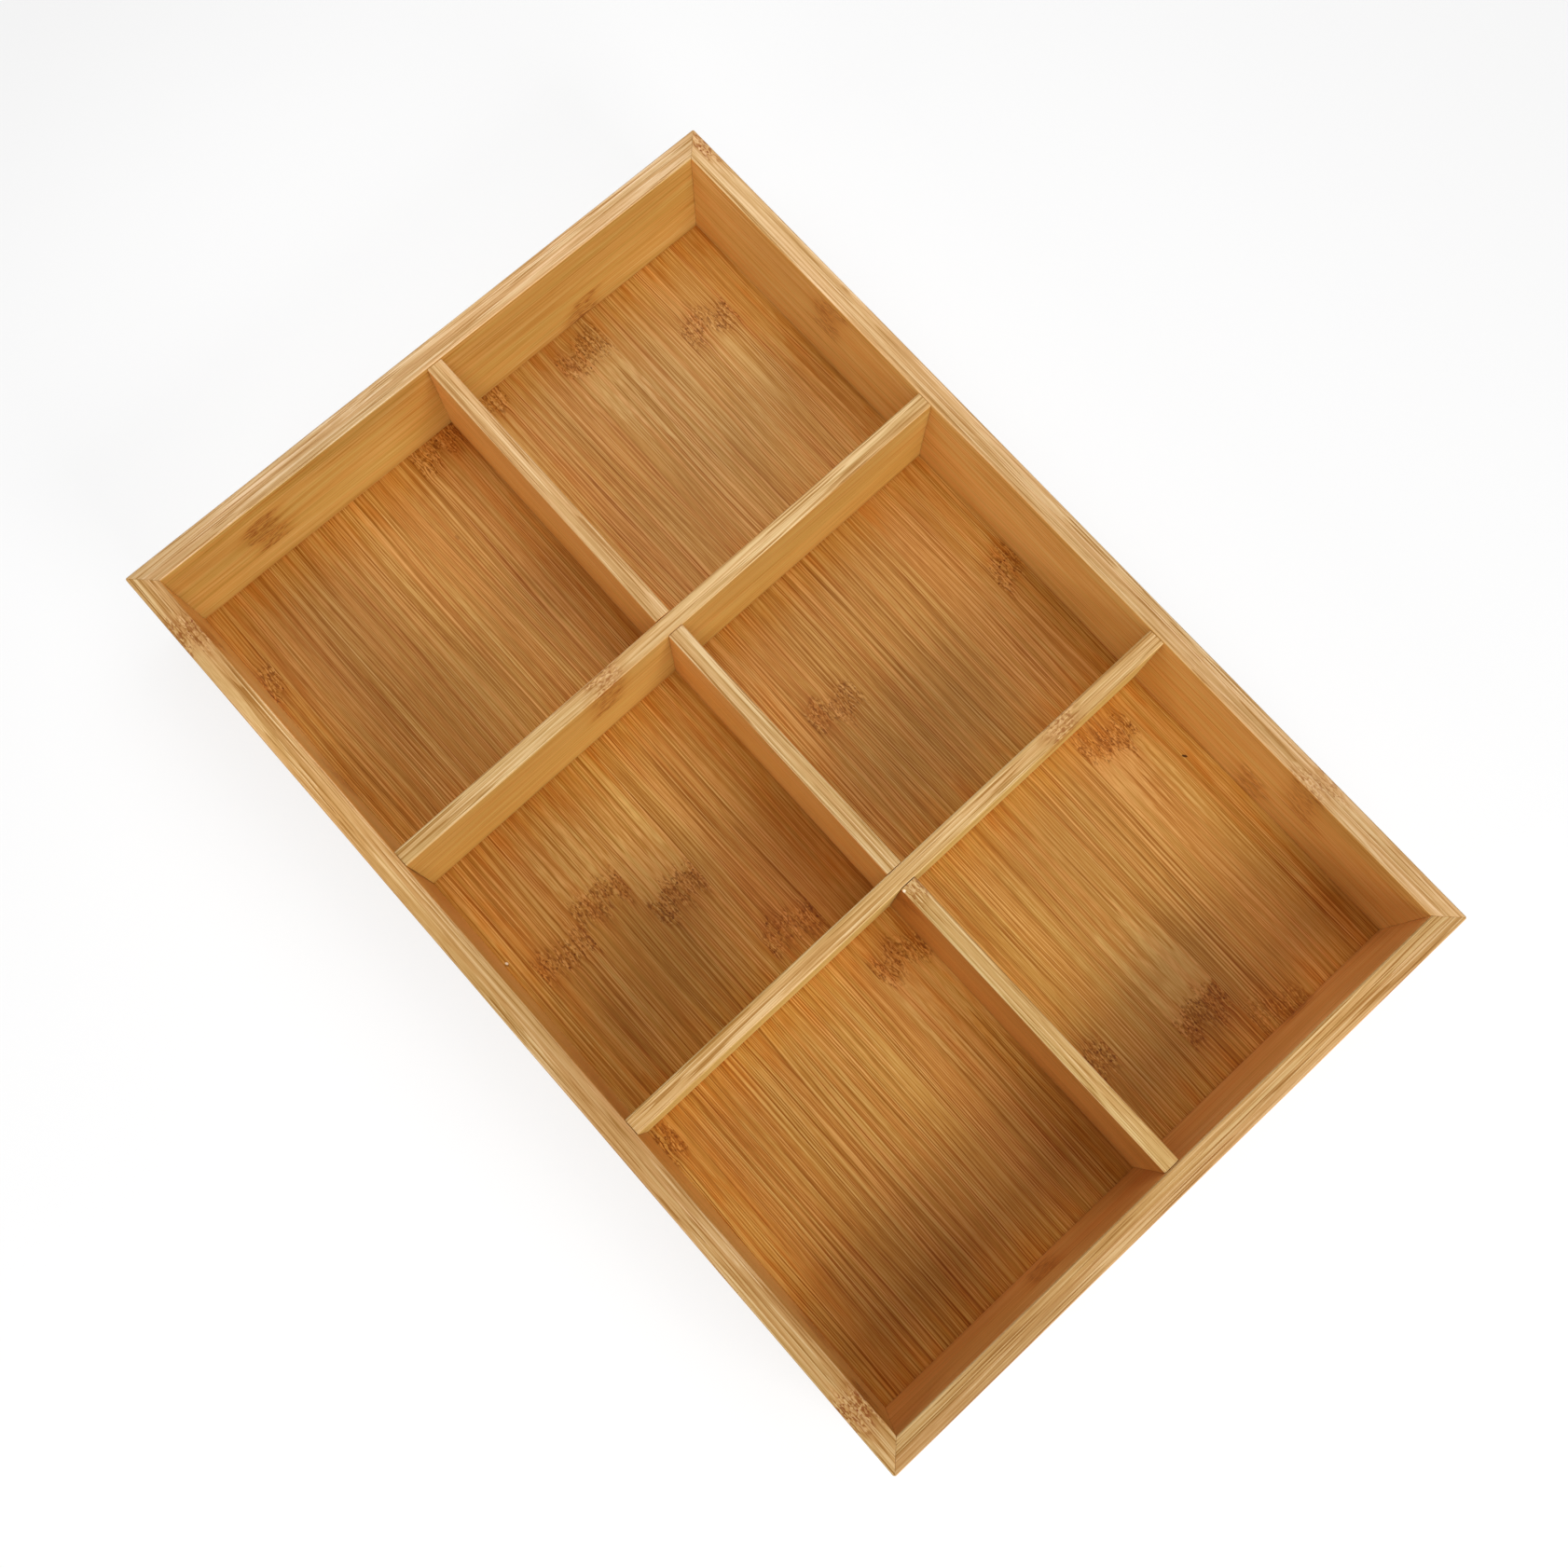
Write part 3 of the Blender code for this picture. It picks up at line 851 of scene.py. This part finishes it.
# A strip's knuckle has its place along the board, the side its flame points to, and its strength. Each
# dictionary holds one knuckle of a strip at most
floorBamboo = {
    "stripWidth": 20.53, "stripShift": -125.79, "rows": 12, "plies": 1, "seed": 4.0,
    "knuckles": [
        {0: (-140.2, 0, 1), 1: (-1.1, 0, 1), 2: (-7.9, -1, 1), 3: (7.1, -1, 1), 4: (42.5, 0, 1),
         5: (-168.0, 0, 1), 6: (-170.2, 0, 1), 7: (-5.2, 0, 1), 8: (-160.6, 1, 1), 9: (168.0, 0, 0.6),
         10: (-141.6, 0, 1), 11: (-3.8, 0, 1)},
        {0: (65.7, 0, 1), 5: (72.5, 1, 1), 6: (139.4, 0, 1), 8: (151.6, -1, 1), 10: (65.7, 1, 1)},
    ],
    "rough": 1.0,
    "spots": [
        {"place": (86.7, 105.3, 2.5), "size": (2.1, 0.9, 4.0), "angle": 35, "strength": 0.9,
         "colour": linear(56, 26, 12)},
        {"place": (-137.5, -28.8, 2.5), "size": (2.2, 1.2, 4.0), "angle": 0, "strength": 0.3,
         "colour": linear(96, 50, 18)},
        # Painted shadow of the glue speck that follows
        {"place": (-12.5, -111.3, 2.5), "size": (1.7, 1.0, 4.0), "angle": 20, "strength": 0.45,
         "colour": linear(92, 52, 22)},
        {"place": (-12.9, -110.9, 2.5), "size": (1.2, 0.8, 4.0), "angle": 20, "strength": 0.9,
         "colour": linear(232, 216, 190)},
    ],
    # Painted light and shade across the floor's compartments, with some of the wood's own colour
    "patches": [
        floorPatch((-150, 45), (45, 70), (0.86, 0.89, 1.0)),
        floorPatch((-118, 72), (40, 45), (1.0, 1.09, 1.35)),
        floorPatch((-138, -88), (50, 45), (0.84, 0.84, 0.9)),
        floorPatch((-60, -28), (60, 35), (1.1, 1.12, 1.1)),
        floorPatch((-45, -75), (50, 35), (0.93, 0.9, 0.9)),
        floorPatch((30, -30), (35, 40), (1.12, 1.02, 1.0)),
        floorPatch((90, -17), (60, 16), (0.88, 0.8, 0.76)),
        floorPatch((92, -37), (55, 20), (1.07, 1.15, 1.25)),
        floorPatch((140, -60), (50, 80), (0.98, 0.9, 0.86)),
        floorPatch((158, 75), (45, 60), (1.12, 1.04, 1.0)),
        floorPatch((95, 18), (60, 25), (1.08, 1.14, 1.12)),
        floorPatch((30, 92), (40, 30), (1.1, 1.08, 1.08)),
        floorPatch((-35, -57), (32, 30), (1.06, 1.14, 1.14)),
        floorPatch((3, -55), (28, 30), (0.88, 0.86, 0.84)),
        floorPatch((135, 55), (24, 30), (0.9, 0.9, 0.92)),
    ],
    "fibres": {"Hair": 0.46, "Thread": 0.03, "Cord": 0.01, "Ribbon": 0.01, "Line": 0.44},
    "shorten": 0.55, "stripSpread": 0.09, "paleSpots": 0.7,
    "shade": linear(142, 82, 24), "body": linear(181, 126, 57), "light": linear(209, 163, 95),
    "knuckle": linear(106, 54, 16),
    # Painted warm bounce light near the boards, painted corner shade at their feet, and stain with painted
    # bounce light
    "nearFoot": (1.06, 1.03, 0.88, 1.0), "atFoot": (0.94, 0.88, 0.84, 1.0),
    "footStainAndPaintedBounce": (0.97, 0.86, 0.70, 1.0),
    "roughness": 0.40, "relief": 0.00003, "specular": 0.1, "coat": 0.03,
}

dividerBamboo = dict(wallBamboo, stripShift=9.3, plies=1, innerSide=9.0, patches=[])

# Each board's own colours and knuckles, and patches partly of its own colour, partly of painted light and
# shade. A wall's inner ply has strips 0 to 3, from its foot up, and its outer ply 4 to 7
wallMarks = {
    "wall_front": {
        "stain": (1.0, 1.0, 1.0), "edgeStain": (0.98, 0.92, 0.90), "shift": -10.0,
        "knuckles": [
            {0: (60, 0, 1), 1: (-95, 0, 0.8), 4: (-30, 0, 1), 5: (110, 0, 1), 6: (161.2, 0, 1.4)},
            {1: (140, 0, 0.8), 2: (-150, 1, 1), 4: (-170, 0, 1), 6: (-152.5, 1, 1)},
            {2: (158.6, 0, 1.4)},
        ],
        "patches": [
            # Painted shade on the rim near its right end, against the near key lamp's strong light there
            rimPatch(160, 60, (0.84, 0.84, 0.80)),
            rimPatch(55, 110, (0.93, 0.92, 0.92)),
            rimPatch(-95, 90, (1.12, 1.10, 1.07)),
            rimPatch(-139, 26, (0.84, 0.78, 0.68)),
            rimPatch(-15, 50, (0.95, 0.93, 0.86)),
            facePatch(-28, 40, (0.90, 0.83, 0.88)),
            facePatch(42, 40, (0.92, 0.78, 0.72)),
            facePatch(-95, 60, (1.06, 1.13, 1.3)),
            facePatch(120, 50, (1.0, 1.06, 1.25)),
        ],
    },
    "wall_right": {
        "stain": (1.01, 0.89, 0.95), "edgeStain": (0.84, 0.765, 0.695), "shift": -5.75,
        "knuckles": [{0: (70, 0, 1), 1: (-46.4, 0, 1), 4: (-80, 0, 1), 5: (30, 0, 1)}],
        "patches": [
            rimPatch(-85, 65, (0.90, 0.90, 0.89)),
            rimPatch(70, 35, (1.12, 1.14, 1.18)),
            # Painted shadow of the long divider on the inner face on its front side, and painted light on
            # its back side
            facePatch(-20, 38, (0.83, 0.74, 0.64)),
            facePatch(46, 60, (1.10, 1.13, 1.18)),
            # Painted shade over the outer ply's face, which the key lamps light too brightly
            {"place": (0, 22, 6), "size": (400, 40, 6), "tint": (0.80, 0.82, 0.82)},  # the outer ply
        ],
    },
    "wall_back": {
        "stain": (1.08, 1.10, 1.12), "edgeStain": (1.01, 1.0, 1.0), "shift": -14.0,
        "knuckles": [
            {0: (20, 0, 1), 1: (-108.9, 0, 0.65), 2: (103, 0, 0.75), 3: (-120.3, 0, 0.75), 4: (-150, 0, 1),
             5: (90, 0, 1), 6: (-60, 0, 1), 7: (175.6, 0, 1)},
            {2: (-122.8, 0, 0.6), 5: (-120, 0, 1), 6: (165, 0, 1), 7: (-121.5, -1, 0.6)},
        ],
        "patches": [
            # Painted shade on the rim near its right end, against the near key lamp's strong light there
            rimPatch(-142, 36, (0.90, 0.88, 0.83)),
            {"place": (-158, 26, -4), "size": (60, 34, 5), "tint": (0.87, 0.77, 0.70)},
            facePatch(130, 50, (0.90, 0.91, 0.92)),
        ],
    },
    "wall_left": {
        "stain": (0.86, 0.94, 0.90), "edgeStain": (0.99, 1.01, 1.10), "shift": 0.0,
        "knuckles": [{0: (-60, 0, 1), 1: (76.6, 0, 1), 4: (30, 0, 1), 5: (-85, 0, 1)}],
        "patches": [
            rimPatch(34, 50, (0.88, 0.88, 0.85)),
            facePatch(8, 22, (0.95, 0.87, 0.78)),
        ],
    },
}

dividerMarks = {
    "cross_divider_left": {"stain": (0.83, 0.87, 0.79), "edgeStain": (0.97, 0.96, 0.93),
                           "knuckles": [{1: (-30.0, 0, 1)}]},
    "cross_divider_right": {"stain": (0.84, 1.11, 1.28), "edgeStain": (1.02, 1.01, 0.92),
                            "knuckles": [{1: (68.0, 0, 1)}]},
    "long_divider_left": {"stain": (1.08, 0.98, 0.92), "edgeStain": (0.95, 0.94, 0.92), "knuckles": []},
    "long_divider_middle": {"stain": (1.09, 0.98, 0.92), "edgeStain": (0.95, 0.94, 0.92), "knuckles": []},
    "long_divider_right": {"stain": (0.80, 0.62, 0.51), "edgeStain": (0.95, 0.94, 0.92),
                           "knuckles": [{1: (-54.3, 0, 1)}],
                           "spots": [{"place": (-56.3, 49.5, 2.6), "size": (1.0, 1.4, 1.1), "angle": 0,
                                      "strength": 0.85, "colour": linear(246, 226, 196)}]},
}

def stainColours(look, marks):
    # Multiplies a look's face colours and edge colours by the board's own stains
    stains = dict.fromkeys(("shade", "body", "light"), marks["stain"])
    stains.update(dict.fromkeys(("edgeShade", "edgeBody", "edgeLight"), marks["edgeStain"]))
    for key, stain in stains.items():
        look[key] = tuple(part * share for part, share in zip(look[key], (*stain, 1.0)))


# Turn about Z that makes the wall's own +Y point inwards
wallTurns = {"wall_front": 0, "wall_right": 90, "wall_back": 180, "wall_left": 270}


def makeWall(name, turn):
    alongX = turn % 180 == 0
    length = traySize.x if alongX else traySize.y
    outward = (traySize.y if alongX else traySize.x) / 2
    low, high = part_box(name)
    thickness = min(high.x - low.x, high.y - low.y)
    bm = boardBlank(length, (0, low.z), (thickness, high.z), "all")
    waverEdges(bm, turn)
    for side in (-1, 1):
        corner = Vector((side * length / 2, 0, 0))
        mitre = Vector((side, 1, 0)).normalized()
        trimEnd(bm, corner - mitre * wallLook["mitreGap"] / 2, mitre, wallLook["mitreEase"])
        tip = Vector((side, -1, 0)).normalized()
        trimEnd(bm, corner - tip * wallLook["cornerEase"], tip, 0)
    matrix = Matrix.Rotation(math.radians(turn), 4, "Z") @ Matrix.Translation((0, -outward, 0))
    wall = finishPiece(name + "_board", bm, matrix)
    cutJoints(wall)
    marks = wallMarks[name]
    look = dict(wallBamboo, seed=turn / 10, stripShift=marks["shift"], knuckles=marks["knuckles"],
                patches=marks["patches"])
    stainColours(look, marks)
    centre = (low + high) / 2
    material = makeBamboo("bamboo_" + name, look, math.radians(turn), True, (centre.x, centre.y, 0))
    dressPiece(wall, name, material)


for name, turn in wallTurns.items():
    makeWall(name, turn)
print("walls made")

dividerLook = {
    "endGap": 0.00012,  # seen as a thin line at each end
    "endEase": 0.00012,
    "endTrim": 0.00001,  # cut off each end, which closes it again with an eased rim
    "lift": 0.00005,  # over the floor
    "skew": math.radians(0.9),  # of the cross dividers, which are glued in a little off square
}

# Where the dividers stand
middleLow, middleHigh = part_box("long_divider_middle")
dividerThickness = middleHigh.y - middleLow.y
crossingY = (middleLow.y + middleHigh.y) / 2
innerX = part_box("wall_right")[0].x
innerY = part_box("wall_back")[0].y
crossX = (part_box("cross_divider_right")[0].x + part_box("cross_divider_right")[1].x) / 2

floorLook = {"edgeEase": 0.0003}


def makeFloor():
    low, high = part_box("floor_panel")
    middle = (low + high) / 2
    scale = Matrix.Diagonal((*(high - low), 1))
    bm = bmesh.new()
    bmesh.ops.create_cube(bm, size=1, matrix=scale)
    bmesh.ops.bevel(bm, geom=bm.edges[:], offset=floorLook["edgeEase"], segments=boardLook["easeSegments"],
                    profile=0.5, affect="EDGES", material=-1)
    panel = finishPiece("floor_panel_board", bm, Matrix.Translation(middle))
    material = makeBamboo("bamboo_floor_panel", floorBamboo, 0, False, (0, 0, middle.z))
    dressPiece(panel, "floor_panel", material)


makeFloor()
print("floor made")


def makeDivider(name, start, end):
    # A divider between two points given as (x, y)
    run = Vector(end) - Vector(start)
    low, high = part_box(name)
    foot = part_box("floor_panel")[1].z + dividerLook["lift"]
    half = dividerThickness / 2
    bm = boardBlank(run.length, (-half, foot), (half, high.z), "top")
    waverEdges(bm, len(name) + start[0])
    for side in (-1, 1):
        outward = Vector((side, 0, 0))
        trimEnd(bm, outward * (run.length / 2 - dividerLook["endTrim"]), outward, dividerLook["endEase"])
    angle = math.atan2(run.y, run.x)
    middle = Vector(start) + run / 2
    matrix = Matrix.Translation((*middle, 0)) @ Matrix.Rotation(angle, 4, "Z")
    board = finishPiece(name + "_board", bm, matrix)
    cutJoints(board)
    marks = dividerMarks[name]
    look = dict(dividerBamboo, seed=20 + len(name) + round(start[0] * 100), knuckles=marks["knuckles"],
                spots=marks.get("spots", []))
    stainColours(look, marks)
    material = makeBamboo("bamboo_" + name, look, angle, True, (*middle, 0))
    dressPiece(board, name, material)


endGap = dividerLook["endGap"]
halfCross = innerY - endGap
lean = halfCross * math.tan(dividerLook["skew"])
crossFace = crossX - dividerThickness / 2 - endGap
outerFace = crossX + dividerThickness / 2 + endGap
makeDivider("cross_divider_left", (-crossX + lean, -halfCross), (-crossX - lean, halfCross))
makeDivider("cross_divider_right", (crossX + lean, -halfCross), (crossX - lean, halfCross))
makeDivider("long_divider_left", (endGap - innerX, 0), (-outerFace, crossingY))
makeDivider("long_divider_middle", (-crossFace, crossingY), (crossFace, crossingY))
makeDivider("long_divider_right", (outerFace, crossingY), (innerX - endGap, 0))
bpy.data.objects.remove(jointCutter)
print("dividers made")


# Pins and keys, sealed inside the boards

sealedLook = {
    "grain": {"size": (0.004, 0.004, 0.004), "detail": 3.0},
    "grainSpread": (0.35, 0.65),
    "shade": linear(190, 150, 96),
    "light": linear(222, 188, 136),
    "roughness": 0.6,
}


def makeSealedBamboo():
    material, tree, shader = newMaterial("plainBamboo")
    vector = addNode(tree, "ShaderNodeTexCoord").outputs["Object"]
    grain = stretchedNoise(tree, vector, **sealedLook["grain"])
    share = smoothStep(tree, grain, *sealedLook["grainSpread"])
    colour = mixColours(tree, share, sealedLook["shade"], sealedLook["light"])
    feedAll(tree, shader.inputs, {"Base Color": colour, "Roughness": sealedLook["roughness"]})
    return material


plainBamboo = makeSealedBamboo()
for name in sealedNodes:
    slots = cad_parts[name].data.materials
    slots.clear()
    slots.append(plainBamboo)
print("pins and keys finished")


# Floor of the studio, world and lamps

stageLook = {
    "side": 6.0,
    "glow": 0.8,  # share of the floor's white that doesn't depend on the lamps
    "colour": (0.9, 0.9, 0.9, 1.0),
    "roughness": 0.9,
    "gap": 0.0001,  # under the tray
}


def seenRays(tree):
    # 1 for rays from the camera and for those that a gloss or glass sends on
    path = addNode(tree, "ShaderNodeLightPath").outputs
    seen = maths(tree, "MAXIMUM", path["Is Camera Ray"], path["Is Glossy Ray"])
    return maths(tree, "MAXIMUM", seen, path["Is Transmission Ray"])


def makeStage():
    bm = bmesh.new()
    bmesh.ops.create_grid(bm, x_segments=1, y_segments=1, size=stageLook["side"] / 2)
    stage = finishPiece("studioFloor", bm, Matrix.Translation((0, 0, trayLow.z - stageLook["gap"])))
    material, tree, shader = newMaterial("studioFloor")
    feedAll(tree, shader.inputs, {
        "Base Color": stageLook["colour"], "Roughness": stageLook["roughness"], "Specular IOR Level": 0.0})
    glow = addNode(tree, "ShaderNodeEmission", {"Color": (1, 1, 1, 1), "Strength": 1.0})
    share = product(tree, seenRays(tree), stageLook["glow"])
    mixed = addNode(tree, "ShaderNodeMixShader", {0: share, 1: shader.outputs[0], 2: glow.outputs[0]})
    feed(tree, tree.nodes["Material Output"].inputs["Surface"], mixed.outputs[0])
    stage.data.materials.append(material)


def makeWorld():
    # White where it is seen, and no light on the tray
    world = bpy.data.worlds.new("studioWorld")
    world.use_nodes = True
    bpy.context.scene.world = world
    tree = world.node_tree
    background = tree.nodes["Background"]
    feedAll(tree, background.inputs, {"Color": (1, 1, 1, 1), "Strength": seenRays(tree)})


# Angles in degrees, lengths in metres. A white surface at the origin that faces the lamp shows its value
lamps = {
    "keyLamp": {"azimuth": 0, "elevation": 30, "distance": 1.2, "side": 0.5, "value": 0.73},
    "nearKeyLamp": {"azimuth": 0, "elevation": 40, "distance": 0.6, "side": 0.26, "value": 0.325},
    "frontLamp": {"azimuth": 270, "elevation": 25, "distance": 0.8, "side": 0.34, "value": 0.445},
    "backLamp": {"azimuth": 90, "elevation": 63, "distance": 0.9, "side": 0.5, "value": 0.21},
    "leftLamp": {"azimuth": 185, "elevation": 40, "distance": 0.35, "side": 0.18, "value": 0.195},
    "leftBackLamp": {"azimuth": 143, "elevation": 50, "distance": 0.41, "side": 0.2, "value": 0.19},
    "leftTopLamp": {"azimuth": 150, "elevation": 62, "distance": 0.3, "side": 0.15, "value": 0.13},
}


def makeLamp(name, look):
    data = bpy.data.lights.new(name, "AREA")
    data.shape = "SQUARE"
    data.size = look["side"]
    data.energy = look["value"] * (math.pi * look["distance"]) ** 2
    lamp = bpy.data.objects.new(name, data)
    lamp.visible_camera = False  # it stands near the tray, inside some views
    azimuth = math.radians(look["azimuth"])
    elevation = math.radians(look["elevation"])
    towards = Vector((math.cos(azimuth) * math.cos(elevation), math.sin(azimuth) * math.cos(elevation),
                      math.sin(elevation)))
    lamp.location = towards * look["distance"]
    lamp.rotation_euler = towards.to_track_quat("Z", "Y").to_euler()
    bpy.context.scene.collection.objects.link(lamp)


makeStage()
makeWorld()
for name, look in lamps.items():
    makeLamp(name, look)
bpy.context.scene.view_settings.view_transform = "Standard"
print("stage and lamps placed")
